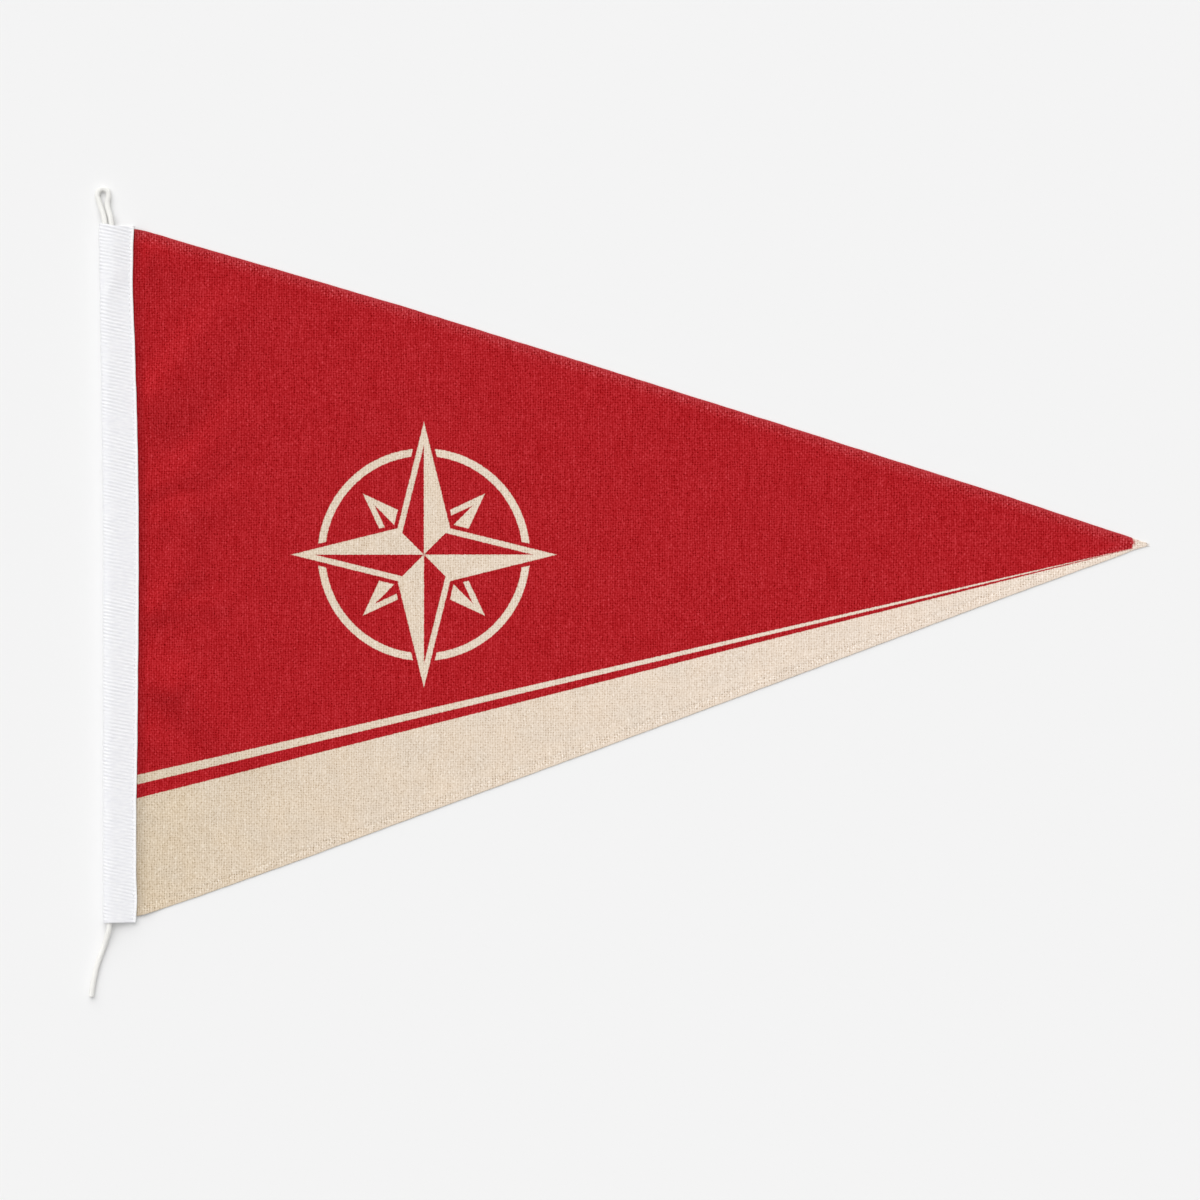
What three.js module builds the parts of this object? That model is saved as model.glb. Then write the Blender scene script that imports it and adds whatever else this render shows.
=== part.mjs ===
// A triangular boat pennant, laid out flat: a printed cloth panel, a white heading tape folded
// over its hoist edge, and a white cord that runs through the fold, with a loop above and a
// free tail below.
//
// Millimetres. +X runs along the fly, from the heading to the tip. +Y runs up the hoist, and +Z
// away from the surface that the pennant lies on. The origin is on that surface, under the
// middle of the cloth and the heading.

import * as THREE from 'three';

// Driving sizes.
const FLY = 450; // fold of the heading to the tip
const HOIST = 300; // length of the heading
const CLOTH_THICK = 1.0;
const TAPE_THICK = 1.0;
const GAP = 0.3; // clearance between pieces that touch
const CORD_DIAMETER = 2.4;
const HEM_WIDTH = 3.7; // turned edge along both leeches
const HEM_RISE = 0.4; // how much the turned edge stands above the cloth

// The cloth's own edge is hidden in the heading, and the cloth stays level until it is clear of
// the heading. Both are measured from the fold.
const CLOTH_START = 9;
const CLOTH_LEVEL_TO = 17;

// The outline of the heading seen from above. Its fold leans and its stitched edge wavers.
// skew is how far the end is cut lower at the stitched edge than at the fold.
const HEADING_ROWS = [
  { y: 0, left: 1.7, right: 15.6, skew: 0 },
  { y: 6, left: 1.7, right: 16.1, skew: 0 },
  { y: 22, left: 1.7, right: 15.9, skew: 0 },
  { y: 50, left: 1.7, right: 15.9, skew: 0 },
  { y: 85, left: 1.7, right: 16.4, skew: 0 },
  { y: 125, left: 1.7, right: 16.7, skew: 0 },
  { y: 180, left: 1.6, right: 16.8, skew: 0 },
  { y: 215, left: 1.2, right: 16.2, skew: 0 },
  { y: 250, left: 0.6, right: 15.1, skew: 0 },
  { y: 276, left: 0.2, right: 14.3, skew: 0 },
  { y: 292, left: 0, right: 14.6, skew: 0.4 },
  { y: HOIST, left: 0, right: 14.9, skew: 1.3 },
];

// The two leeches, from the heading to the tip. Both bow out a little, and the tip is blunt.
const LEECHES = [
  { x: CLOTH_START, lower: 2.2, upper: 298.2 },
  { x: CLOTH_LEVEL_TO, lower: 2.5, upper: 298 },
  { x: 43, lower: 11.3, upper: 290.2 },
  { x: 86, lower: 26.7, upper: 277.8 },
  { x: 129, lower: 42.9, upper: 265.2 },
  { x: 215, lower: 74.6, upper: 238.5 },
  { x: 301, lower: 106.7, upper: 211.4 },
  { x: 387, lower: 138.9, upper: 184.1 },
  { x: 429, lower: 154.1, upper: 170.1 },
  { x: 442, lower: 158.8, upper: 166 },
  { x: 446.6, lower: 161.1, upper: 163.9 },
  { x: FLY, lower: 161.8, upper: 162.8 },
];

// Soft puckers that fan out from the stitched heading. Each is a low ridge that runs away from
// the heading. It has a height at each end, and how far it reaches on its upper and lower side.
const PUCKERS = [
  { x0: 17, y0: 287, x1: 27, y1: 284, start: 3.4, end: 1.0, above: 9, below: 18 },
  { x0: 24, y0: 226, x1: 50, y1: 260, start: 3.7, end: 1.4, above: 12, below: 28 },
  { x0: 20, y0: 185, x1: 40, y1: 193, start: 1.3, end: 1.2, above: 12, below: 8 },
  { x0: 38, y0: 194, x1: 54, y1: 214, start: 2.1, end: 1.0, above: 12, below: 20 },
  { x0: 32, y0: 174, x1: 56, y1: 184, start: 1.7, end: 0.8, above: 13, below: 16 },
  { x0: 36, y0: 176, x1: 36, y1: 150, start: 2.3, end: 2.0, above: 16, below: 10 },
  { x0: 24, y0: 134, x1: 34, y1: 147, start: 1.7, end: 1.4, above: 9, below: 9 },
  { x0: 20, y0: 133, x1: 52, y1: 137, start: 1.3, end: 0.7, above: 10, below: 9 },
  { x0: 20, y0: 105, x1: 33, y1: 101, start: 2.2, end: 3.4, above: 15, below: 13 },
  { x0: 33, y0: 101, x1: 59, y1: 71, start: 3.4, end: 1.2, above: 17, below: 13 },
  { x0: 21, y0: 79, x1: 36, y1: 69, start: 1.3, end: 0.5, above: 8, below: 9 },
  { x0: 18, y0: 3, x1: 22, y1: 4, start: 1.0, end: 0.5, above: 6, below: 6 },
];
const PUCKER_RAMP = 6; // past the level strip, a pucker reaches its height over this distance
const DROP_LENGTH = 5; // and the cloth comes down to the surface over this one

// The cord's sewn end, its loop above the heading, and the start of its way down the fold.
const LOOP_ROUTE = [
  [5.3, 283, 2.5],
  [5.2, 292, 2.5],
  [5.3, 299.5, 2.5],
  [4.8, 303, 2.2],
  [3.7, 306.5, 1.6],
  [3.4, 309.3, 1.25],
  [3.9, 312.2, 1.2],
  [3.3, 314.3, 1.2],
  [1.5, 315.2, 1.2],
  [-0.3, 314.3, 1.2],
  [-0.9, 312.2, 1.2],
  [-0.1, 309.3, 1.25],
  [0.8, 306.5, 1.6],
  [2.0, 303, 2.2],
  [2.5, 300, 2.5],
  [2.5, 292, 2.5],
  [2.7, 283, 2.5],
];

// The rest of the cord: down the fold, out below the heading, and along the surface.
const RUN_ROUTE = [
  [2.7, 282.7, 2.5],
  [3.2, 250, 2.5],
  [3.8, 215, 2.5],
  [4.2, 180, 2.5],
  [4.3, 125, 2.5],
  [4.3, 60, 2.5],
  [4.3, 15, 2.5],
  [4.3, 4, 2.5],
  [4.3, 0, 2.5],
  [4.2, -3, 2.5],
  [3.2, -6.5, 1.9],
  [2, -10, 1.3],
  [0.9, -13, 1.2],
  [-0.4, -16.5, 1.2],
  [-1.9, -22, 1.2],
  [-2.9, -27, 1.2],
  [-3.5, -31.5, 1.2],
];
const CORD_SIDES = 8;

// Blends from 0 to 1 with no corner at either end.
function smooth(value) {
  const t = THREE.MathUtils.clamp(value, 0, 1);
  return t * t * (3 - 2 * t);
}

// Where a leech lies at x, in straight lines between the rows of its table.
function leechAt(side, x) {
  let i = 0;
  while (i < LEECHES.length - 2 && LEECHES[i + 1].x < x) i += 1;
  const from = LEECHES[i];
  const to = LEECHES[i + 1];
  return THREE.MathUtils.mapLinear(x, from.x, to.x, from[side], to[side]);
}

function meshOf(name, geometry, colour, roughness) {
  const finish = { color: colour, roughness, metalness: 0, flatShading: true };
  const material = new THREE.MeshStandardMaterial(finish);
  const mesh = new THREE.Mesh(geometry, material);
  mesh.name = name;
  return mesh;
}

function geometryOf(points, triangles) {
  const geometry = new THREE.BufferGeometry().setFromPoints(points);
  geometry.setIndex(triangles);
  geometry.computeVertexNormals();
  return geometry;
}

// ---- Cloth panel -------------------------------------------------------------------------

const FINE_REACH = 92; // the puckers end here, and wider steps follow
const FINE_STEP = 6;
const FINE_STEP_ALONG = 4.5;
const WIDE_STEP = 15;
const HEM_EDGE = 0.8; // the hem's step down to the cloth is this wide
const ON_RIDGE = 0.2; // a point nearer to a ridge's line than this is on neither side of it

// Height of the puckers over a point of the cloth. Cubes make one ridge run into the next
// without a step.
function puckerHeight(x, y) {
  let cubed = 0;
  for (const pucker of PUCKERS) {
    const alongX = pucker.x1 - pucker.x0;
    const alongY = pucker.y1 - pucker.y0;
    const length = Math.hypot(alongX, alongY);
    const share = ((x - pucker.x0) * alongX + (y - pucker.y0) * alongY) / length ** 2;
    const t = THREE.MathUtils.clamp(share, 0, 1);
    const away = Math.hypot(x - pucker.x0 - t * alongX, y - pucker.y0 - t * alongY);
    const aside = (alongX * (y - pucker.y0) - alongY * (x - pucker.x0)) / length;
    const upwards = (1 + aside / Math.max(away, ON_RIDGE)) / 2;
    const reach = THREE.MathUtils.lerp(pucker.below, pucker.above, upwards);
    const round = Math.cos((Math.min(away / reach, 1) * Math.PI) / 2) ** 2;
    cubed += (round * THREE.MathUtils.lerp(pucker.start, pucker.end, t)) ** 3;
  }
  return Math.cbrt(cubed);
}

// Underside of the cloth: held between the tape's leaves, then down to the surface.
function undersideHeight(x, y) {
  const past = x - CLOTH_LEVEL_TO;
  const held = (TAPE_THICK + GAP) * (1 - smooth(past / DROP_LENGTH));
  return held + smooth(past / PUCKER_RAMP) * puckerHeight(x, y);
}

// Across the cloth at x, from the lower leech to the upper: both hems, and even steps between.
function clothStations(x) {
  const lower = leechAt('lower', x);
  const upper = leechAt('upper', x);
  const hemBand = HEM_WIDTH + HEM_EDGE;
  if (upper - lower < 2 * hemBand + 2) {
    return [
      { y: lower, hem: 1 },
      { y: (lower + upper) / 2, hem: 1 },
      { y: upper, hem: 1 },
    ];
  }
  const stations = [
    { y: lower, hem: 1 },
    { y: lower + HEM_WIDTH, hem: 1 },
  ];
  const field = upper - lower - 2 * hemBand;
  const steps = Math.max(1, Math.round(field / (x < FINE_REACH ? FINE_STEP : WIDE_STEP)));
  for (let i = 0; i <= steps; i += 1) {
    stations.push({ y: lower + hemBand + (field * i) / steps, hem: 0 });
  }
  stations.push({ y: upper - HEM_WIDTH, hem: 1 });
  stations.push({ y: upper, hem: 1 });
  return stations;
}

// Joins two neighbouring rows of points with triangles, always by the shorter way across.
function joinRows(points, rowA, rowB) {
  const triangles = [];
  let a = 0;
  let b = 0;
  while (a < rowA.length - 1 || b < rowB.length - 1) {
    const stepA = a < rowA.length - 1 ? points[rowA[a + 1]].distanceTo(points[rowB[b]]) : Infinity;
    const stepB = b < rowB.length - 1 ? points[rowA[a]].distanceTo(points[rowB[b + 1]]) : Infinity;
    if (stepA < stepB) {
      triangles.push([rowA[a], rowB[b], rowA[a + 1]]);
      a += 1;
    } else {
      triangles.push([rowA[a], rowB[b], rowB[b + 1]]);
      b += 1;
    }
  }
  return triangles;
}

// Places along the fly: close together by the heading, wider after the puckers, and at the tip's
// own corners.
function clothColumns() {
  const columns = [CLOTH_START];
  const tip = LEECHES.slice(-3).map((row) => row.x);
  let x = CLOTH_LEVEL_TO;
  while (x < tip[0] - WIDE_STEP / 2) {
    columns.push(x);
    x += x < FINE_REACH ? FINE_STEP_ALONG : WIDE_STEP;
  }
  return columns.concat(tip);
}

function clothPanel() {
  const points = [];
  const rows = [];
  for (const x of clothColumns()) {
    const row = { under: [], over: [] };
    for (const { y, hem } of clothStations(x)) {
      const z = undersideHeight(x, y);
      const thick = CLOTH_THICK + hem * HEM_RISE * smooth((x - CLOTH_LEVEL_TO) / PUCKER_RAMP);
      row.under.push(points.push(new THREE.Vector3(x, y, z)) - 1);
      row.over.push(points.push(new THREE.Vector3(x, y, z + thick)) - 1);
    }
    rows.push(row);
  }

  // Every under point is followed by its over point, so the two faces share one pattern.
  const triangles = [];
  for (let i = 0; i < rows.length - 1; i += 1) {
    for (const [a, b, c] of joinRows(points, rows[i].under, rows[i + 1].under)) {
      triangles.push(a, c, b);
      triangles.push(a + 1, b + 1, c + 1);
    }
  }

  // A wall follows the whole edge once round: lower leech, tip, upper leech, hoist.
  const edge = rows.map((row) => row.under[0]);
  edge.push(...rows[rows.length - 1].under.slice(1));
  edge.push(...rows.slice(0, -1).map((row) => row.under[row.under.length - 1]).reverse());
  edge.push(...rows[0].under.slice(1, -1).reverse());
  edge.forEach((from, i) => {
    const to = edge[(i + 1) % edge.length];
    triangles.push(from, to, to + 1);
    triangles.push(from, to + 1, from + 1);
  });
  return geometryOf(points, triangles);
}

// ---- Heading tape ------------------------------------------------------------------------

const FOLD_STEPS = 6;
const ROOM = CORD_DIAMETER + 2 * GAP; // height inside the fold
const CLOTH_ROOM = CLOTH_THICK + 2 * GAP; // height between the leaves, over the cloth
const SHOULDER = 5.8; // from the fold to where the upper leaf starts down from the cord
const SLOPE_RUN = 1.7; // and how far it takes to come down to the cloth

// Half of the tape's section, as the line of one of its faces: the lower leaf, round the fold,
// over the cord and down to the cloth. inset is 0 outside and the tape's thickness inside.
function tapeFace(left, right, inset) {
  const radius = ROOM / 2 + TAPE_THICK;
  const slope = Math.atan2(ROOM - CLOTH_ROOM, SLOPE_RUN);
  const miter = (TAPE_THICK - inset) * Math.tan(slope / 2);
  const line = [[right, inset]];
  for (let i = 0; i <= FOLD_STEPS; i += 1) {
    const angle = -Math.PI / 2 - (Math.PI * i) / FOLD_STEPS;
    const reach = radius - inset;
    line.push([left + radius + reach * Math.cos(angle), radius + reach * Math.sin(angle)]);
  }
  line.push([left + SHOULDER + miter, 2 * radius - inset]);
  line.push([left + SHOULDER + SLOPE_RUN + miter, 2 * TAPE_THICK + CLOTH_ROOM - inset]);
  line.push([right, 2 * TAPE_THICK + CLOTH_ROOM - inset]);
  return line;
}

function headingTape() {
  const loops = HEADING_ROWS.map(({ y, left, right, skew }) => {
    const section = tapeFace(left, right, 0).concat(tapeFace(left, right, TAPE_THICK).reverse());
    return section.map(([x, z]) => new THREE.Vector3(x, y - (skew * (x - left)) / (right - left), z));
  });
  const count = loops[0].length;
  const triangles = [];
  for (let row = 0; row < loops.length - 1; row += 1) {
    for (let i = 0; i < count; i += 1) {
      const next = (i + 1) % count;
      const a = row * count + i;
      const b = row * count + next;
      triangles.push(a, b, a + count);
      triangles.push(b, b + count, a + count);
    }
  }
  const lastRow = (loops.length - 1) * count;
  const flat = loops[0].map((point) => new THREE.Vector2(point.x, point.z));
  for (const [a, b, c] of THREE.ShapeUtils.triangulateShape(flat, [])) {
    triangles.push(a, b, c);
    triangles.push(lastRow + a, lastRow + c, lastRow + b);
  }
  return geometryOf(loops.flat(), triangles);
}

// ---- Hoist cord --------------------------------------------------------------------------

function cordTube(route, steps) {
  const section = new THREE.Shape();
  for (let i = 0; i < CORD_SIDES; i += 1) {
    const angle = (2 * Math.PI * (i + 0.5)) / CORD_SIDES;
    const x = (CORD_DIAMETER / 2) * Math.cos(angle);
    const y = (CORD_DIAMETER / 2) * Math.sin(angle);
    if (i === 0) section.moveTo(x, y);
    else section.lineTo(x, y);
  }
  section.closePath();
  const path = new THREE.CatmullRomCurve3(route.map((point) => new THREE.Vector3(...point)));
  return new THREE.ExtrudeGeometry(section, { steps, extrudePath: path, bevelEnabled: false });
}

// ---- The pennant -------------------------------------------------------------------------

const pennant = new THREE.Group();
pennant.position.set(-FLY / 2, -HOIST / 2, 0);
pennant.add(meshOf('cloth_panel', clothPanel(), 0xaf2127, 0.85));
pennant.add(meshOf('heading_tape', headingTape(), 0xefeff2, 0.75));
pennant.add(meshOf('hoist_cord_loop', cordTube(LOOP_ROUTE, 34), 0xf6f5f1, 0.7));
pennant.add(meshOf('hoist_cord_run', cordTube(RUN_ROUTE, 46), 0xf6f5f1, 0.7));

const part = new THREE.Group();
part.add(pennant);

export default part;
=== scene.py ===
# %% [markdown]
# # A boat pennant, laid out flat
#
# The real thing is a triangle of printed bunting. A white woven tape, the heading, is folded over its
# hoist edge and stitched down, and a thin white cord runs through the fold, with a small loop above it
# and a free tail below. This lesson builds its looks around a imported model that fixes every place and
# size. Lengths are in millimetres, measured from the heading's fold and foot, until the last moment.

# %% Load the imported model
import math
import random

import bmesh
import bpy
import numpy as np
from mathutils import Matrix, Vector, noise

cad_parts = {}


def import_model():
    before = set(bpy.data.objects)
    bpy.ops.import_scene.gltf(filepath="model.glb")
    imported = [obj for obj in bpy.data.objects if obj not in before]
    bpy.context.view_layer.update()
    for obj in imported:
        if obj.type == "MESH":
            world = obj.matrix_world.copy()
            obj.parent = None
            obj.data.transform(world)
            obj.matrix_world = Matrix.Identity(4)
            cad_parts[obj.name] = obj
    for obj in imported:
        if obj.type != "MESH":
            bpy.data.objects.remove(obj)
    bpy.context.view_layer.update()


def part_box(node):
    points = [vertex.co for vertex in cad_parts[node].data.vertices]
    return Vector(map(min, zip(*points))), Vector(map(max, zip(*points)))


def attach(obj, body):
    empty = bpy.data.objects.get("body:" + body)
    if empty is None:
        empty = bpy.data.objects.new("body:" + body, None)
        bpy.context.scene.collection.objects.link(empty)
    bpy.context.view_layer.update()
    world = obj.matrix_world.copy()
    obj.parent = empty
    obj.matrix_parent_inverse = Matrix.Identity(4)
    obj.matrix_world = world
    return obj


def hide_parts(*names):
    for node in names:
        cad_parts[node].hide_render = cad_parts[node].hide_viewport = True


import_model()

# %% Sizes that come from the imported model
MM = 0.001
heading_low, heading_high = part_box("heading_tape")
_, cloth_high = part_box("cloth_panel")
FOLD_X = heading_low.x / MM
FOOT_Y = heading_low.y / MM
FLY = (cloth_high.x - heading_low.x) / MM
HOIST = (heading_high.y - heading_low.y) / MM
print(f"fly {FLY:.1f} mm, hoist {HOIST:.1f} mm")


def to_frame(points):
    """Millimetres from the fold and foot of the heading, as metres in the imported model's frame."""
    return (np.asarray(points, float) + (FOLD_X, FOOT_Y, 0)) * MM


# %% [markdown]
# ## Camera, surface and light
#
# A flag is laid on a white table and looked at from straight above. A long lens keeps its edges free
# of perspective. The light comes from a broad soft box overhead, a smaller one up and to the left, and
# pale walls all round. A sun lamp with a large angle is a soft box that lights the whole table evenly.
# The three are shared out so that together they show a flat surface in its own colour.

# %% Camera
FIELD = 516
VIEW_CENTRE = (215, 138.5, 0)

scene = bpy.context.scene
lens = bpy.data.cameras.new("camera")
lens.lens = 100
camera = bpy.data.objects.new("camera", lens)
scene.collection.objects.link(camera)
above = Vector((0, 0, FIELD * MM * lens.lens / lens.sensor_width))
camera.location = Vector(to_frame(VIEW_CENTRE)) + above
scene.camera = camera
scene.view_settings.view_transform = "Standard"
print(f"camera {above.z:.3f} m above the surface")


# %% Helpers for colours and nodes
def linear(hex_colour):
    """An sRGB colour such as #AF2127 as the linear RGBA that Blender's sockets take."""
    values = [int(hex_colour[i : i + 2], 16) / 255 for i in (1, 3, 5)]
    return (*[v / 12.92 if v <= 0.04045 else ((v + 0.055) / 1.055) ** 2.4 for v in values], 1.0)


def wire(tree, target, inputs):
    """Fill a node's inputs, given by number, name or identifier, with a value, a socket or a node."""
    for key, value in inputs.items():
        by_name = (s for s in target.inputs if key in (s.identifier, s.name))
        socket = target.inputs[key] if isinstance(key, int) else next(by_name)
        if isinstance(value, bpy.types.Node):
            value = next(s for s in value.outputs if s.enabled)
        if isinstance(value, bpy.types.NodeSocket):
            tree.links.new(value, socket)
        else:
            socket.default_value = value


def node(tree, kind, inputs=None, **settings):
    """Add one node with its settings and its inputs."""
    made = tree.nodes.new(kind)
    for name, value in settings.items():
        setattr(made, name, value)
    wire(tree, made, inputs or {})
    return made


def calc(tree, operation, *inputs):
    """One step of arithmetic on numbers or sockets."""
    return node(tree, "ShaderNodeMath", dict(enumerate(inputs)), operation=operation)


def calc_vector(tree, operation, *inputs):
    """One step of arithmetic on vectors."""
    return node(tree, "ShaderNodeVectorMath", dict(enumerate(inputs)), operation=operation)


def scaled(tree, vector, factor):
    """A vector or a colour times a number."""
    return node(tree, "ShaderNodeVectorMath", {0: vector, "Scale": factor}, operation="SCALE")


def speckle(tree, place, size, detail):
    """Soft noise from 0 to 1, with features of the given size."""
    return node(tree, "ShaderNodeTexNoise", {"Vector": place, "Scale": 1 / size, "Detail": detail})


def ramp(tree, value, start, end, low, high, **settings):
    """From low to high as the value goes from start to end."""
    inputs = {"Value": value, "From Min": start, "From Max": end, "To Min": low, "To Max": high}
    return node(tree, "ShaderNodeMapRange", inputs, **settings)


def new_material(name, **values):
    """A material with one Principled shader. Values are set on the shader's own sockets."""
    material = bpy.data.materials.new(name)
    material.use_nodes = True
    shader = material.node_tree.nodes["Principled BSDF"]
    for socket, value in values.items():
        shader.inputs[socket.replace("_", " ")].default_value = value
    return material, material.node_tree, shader


def mixed(tree, share, first, second):
    """The first colour where the share is 0 and the second where it is 1."""
    inputs = {"Factor_Float": share, "A_Color": first, "B_Color": second}
    return node(tree, "ShaderNodeMix", inputs, data_type="RGBA")


# %% The table top: matt white board
# Sprayed board scatters light evenly, so it shows no gloss at all.
SURFACE_SIZE = 14000
board_finish = {"Base_Color": linear("#F4F4F4"), "Roughness": 0.9, "Specular_IOR_Level": 0.0}
board, _, _ = new_material("matt_white_board", **board_finish)

half = SURFACE_SIZE / 2
corners = [(-half, -half, 0), (half, -half, 0), (half, half, 0), (-half, half, 0)]
surface_mesh = bpy.data.meshes.new("surface")
surface_mesh.from_pydata([Vector(c) * MM for c in corners], [], [(0, 1, 2, 3)])
surface_mesh.materials.append(board)
surface = bpy.data.objects.new("surface", surface_mesh)
scene.collection.objects.link(surface)

# %% Light
WALLS_SHARE = 0.3
OVERHEAD_SHARE = 0.28
OVERHEAD_WIDTH = math.radians(110)
KEY_SHARE = 1 - WALLS_SHARE - OVERHEAD_SHARE
KEY_WIDTH = math.radians(70)
KEY_HEIGHT = math.radians(40)
KEY_FROM = math.radians(108)

world = bpy.data.worlds.new("studio")
scene.world = world
world.use_nodes = True
walls = world.node_tree.nodes["Background"]
walls.inputs["Color"].default_value = (1, 1, 1, 1)
walls.inputs["Strength"].default_value = WALLS_SHARE


def soft_box(name, share, width, toward):
    """A lamp as wide as a soft box, giving a flat surface that share of its brightness."""
    lamp_data = bpy.data.lights.new(name, "SUN")
    lamp_data.energy = share * math.pi / toward.normalized().z
    lamp_data.angle = width
    lamp = bpy.data.objects.new(name, lamp_data)
    lamp.rotation_euler = toward.to_track_quat("Z", "Y").to_euler()
    scene.collection.objects.link(lamp)
    print(f"{name} {lamp_data.energy:.2f} W/m2")


soft_box("overhead", OVERHEAD_SHARE, OVERHEAD_WIDTH, Vector((0, 0, 1)))
toward_key = Vector((math.cos(KEY_FROM), math.sin(KEY_FROM), math.tan(KEY_HEIGHT)))
soft_box("key", KEY_SHARE, KEY_WIDTH, toward_key)


# %% [markdown]
# ## Tools that every piece uses
#
# Most pieces are grids of points worked out in rows, so one function turns rows into faces and another
# makes the object. Whatever repeats is made by Geometry Nodes. Such a tree is run once on a plain
# guide, and its result is kept as an ordinary mesh, which is what other programs can read.

# %% Meshes from rows of points
def grid_faces(rows, columns, around=False):
    """Quads between neighbouring rows of a grid of points, with the last column joined to the first."""
    faces = []
    for r in range(rows - 1):
        for c in range(columns if around else columns - 1):
            d = (c + 1) % columns
            faces.append((r * columns + c, r * columns + d, (r + 1) * columns + d, (r + 1) * columns + c))
    return faces


def new_object(name, mesh, material):
    """An object at the origin, smooth shaded, with its faces' normals made to point outwards."""
    shape = bmesh.new()
    shape.from_mesh(mesh)
    bmesh.ops.recalc_face_normals(shape, faces=shape.faces)
    shape.to_mesh(mesh)
    shape.free()
    mesh.shade_smooth()
    if not mesh.materials:
        mesh.materials.append(material)
    made = bpy.data.objects.new(name, mesh)
    scene.collection.objects.link(made)
    print(f"{name}: {len(mesh.polygons)} faces")
    return made


def mesh_of(name, points, faces=(), edges=()):
    mesh = bpy.data.meshes.new(name)
    mesh.from_pydata(to_frame(points).tolist(), list(edges), list(faces))
    return mesh


def store(mesh, name, values):
    """Keep one number for each corner point of a mesh, for a tree or a material to read."""
    mesh.attributes.new(name, "FLOAT", "POINT").data.foreach_set("value", np.ravel(values))


def joined(name, meshes, material):
    """One object from several meshes."""
    shape = bmesh.new()
    for mesh in meshes:
        shape.from_mesh(mesh)
    whole = bpy.data.meshes.new(name)
    shape.to_mesh(whole)
    shape.free()
    return new_object(name, whole, material)


# %% Running a Geometry Nodes tree
def new_tree(name, **sizes):
    """A geometry tree with a named input for each size. Whole numbers become integer inputs."""
    tree = bpy.data.node_groups.new(name, "GeometryNodeTree")
    tree.interface.new_socket("Geometry", in_out="INPUT", socket_type="NodeSocketGeometry")
    tree.interface.new_socket("Geometry", in_out="OUTPUT", socket_type="NodeSocketGeometry")
    for label, value in sizes.items():
        kind = "NodeSocketInt" if isinstance(value, int) else "NodeSocketFloat"
        made = tree.interface.new_socket(label, in_out="INPUT", socket_type=kind)
        made.default_value = value
    return tree, node(tree, "NodeGroupInput").outputs


def even_line(tree, guide, step):
    """The guide's edges as a curve, with points at even distances."""
    line = node(tree, "GeometryNodeMeshToCurve", {0: guide})
    return node(tree, "GeometryNodeResampleCurve", {0: line, "Length": step}, mode="LENGTH")


def tube(tree, line, sides, radius):
    """A tube with closed ends along a curve."""
    section = node(tree, "GeometryNodeCurvePrimitiveCircle", {"Resolution": sides, "Radius": radius})
    return node(tree, "GeometryNodeCurveToMesh", {0: line, 1: section, "Fill Caps": True})


def end_tree(tree, geometry, material):
    """Every tree ends the same way: real geometry, smooth, with its material."""
    real = node(tree, "GeometryNodeRealizeInstances", {0: geometry})
    smooth_shape = node(tree, "GeometryNodeSetShadeSmooth", {0: real})
    finished = node(tree, "GeometryNodeSetMaterial", {0: smooth_shape, "Material": material})
    node(tree, "NodeGroupOutput", {0: finished})


def grown(guide, tree, **sizes):
    """Run a tree on a guide mesh and keep the result as a plain mesh. The guide is thrown away."""
    holder = bpy.data.objects.new("guide", guide)
    scene.collection.objects.link(holder)
    modifier = holder.modifiers.new(tree.name, "NODES")
    modifier.node_group = tree
    for item in tree.interface.items_tree:
        if item.in_out == "INPUT" and item.name in sizes:
            modifier[item.identifier] = sizes[item.name]
    depsgraph = bpy.context.evaluated_depsgraph_get()
    made = bpy.data.meshes.new_from_object(holder.evaluated_get(depsgraph), depsgraph=depsgraph)
    bpy.data.objects.remove(holder)
    return made


def polyline(points):
    """A guide for a tree: the points joined by edges."""
    return mesh_of("guide", points, edges=[(i, i + 1) for i in range(len(points) - 1)])


# %% Smooth steps and smooth lines
def smooth(value):
    """From 0 to 1 with no corner at either end."""
    t = np.clip(value, 0, 1)
    return t * t * (3 - 2 * t)


def through(x, xs, ys):
    """A smooth line through the rows of a table."""
    xs, ys = np.asarray(xs, float), np.asarray(ys, float)
    slopes = np.gradient(ys, xs)
    i = np.clip(np.searchsorted(xs, x) - 1, 0, len(xs) - 2)
    run = xs[i + 1] - xs[i]
    t = np.clip((x - xs[i]) / run, 0, 1)
    rise = ys[i] + (ys[i + 1] - ys[i]) * smooth(t)
    return rise + run * t * (1 - t) * (slopes[i] * (1 - t) - slopes[i + 1] * t)


def spline(points, step):
    """A smooth curve through given points, cut into steps of about one length."""
    points = np.asarray(points, float)
    along = np.concatenate([[0], np.cumsum(np.linalg.norm(np.diff(points, axis=0), axis=1))])
    fine = np.linspace(0, along[-1], int(along[-1] / step) + 1)
    return np.stack([through(fine, along, points[:, k]) for k in range(3)], axis=1)


SEEDS_APART = 7.31


def uneven(x, y, size, seed):
    """Soft noise between about -1 and 1, with features of the given size. A seed is a slice of it."""
    spots = np.stack(np.broadcast_arrays(x / size, y / size, seed * SEEDS_APART), axis=-1)
    flat = [noise.noise(Vector(s)) for s in spots.reshape(-1, 3)]
    return np.array(flat).reshape(spots.shape[:-1])


# %% [markdown]
# ## The hoist cord
#
# The cord is a thin round braid of white polyester. Its upper end is sewn inside the heading, it turns
# over in a small loop, runs down through the fold and comes out below as a short tail, sealed with a
# hot knife. A plain tube would do from far away, but a braid is a rule that follows a path: strands
# wind both ways round the centreline and pass over and under in turn, so Geometry Nodes make it. Only
# the loop and the tail show, so the stretch inside the heading stays a tube.

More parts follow.
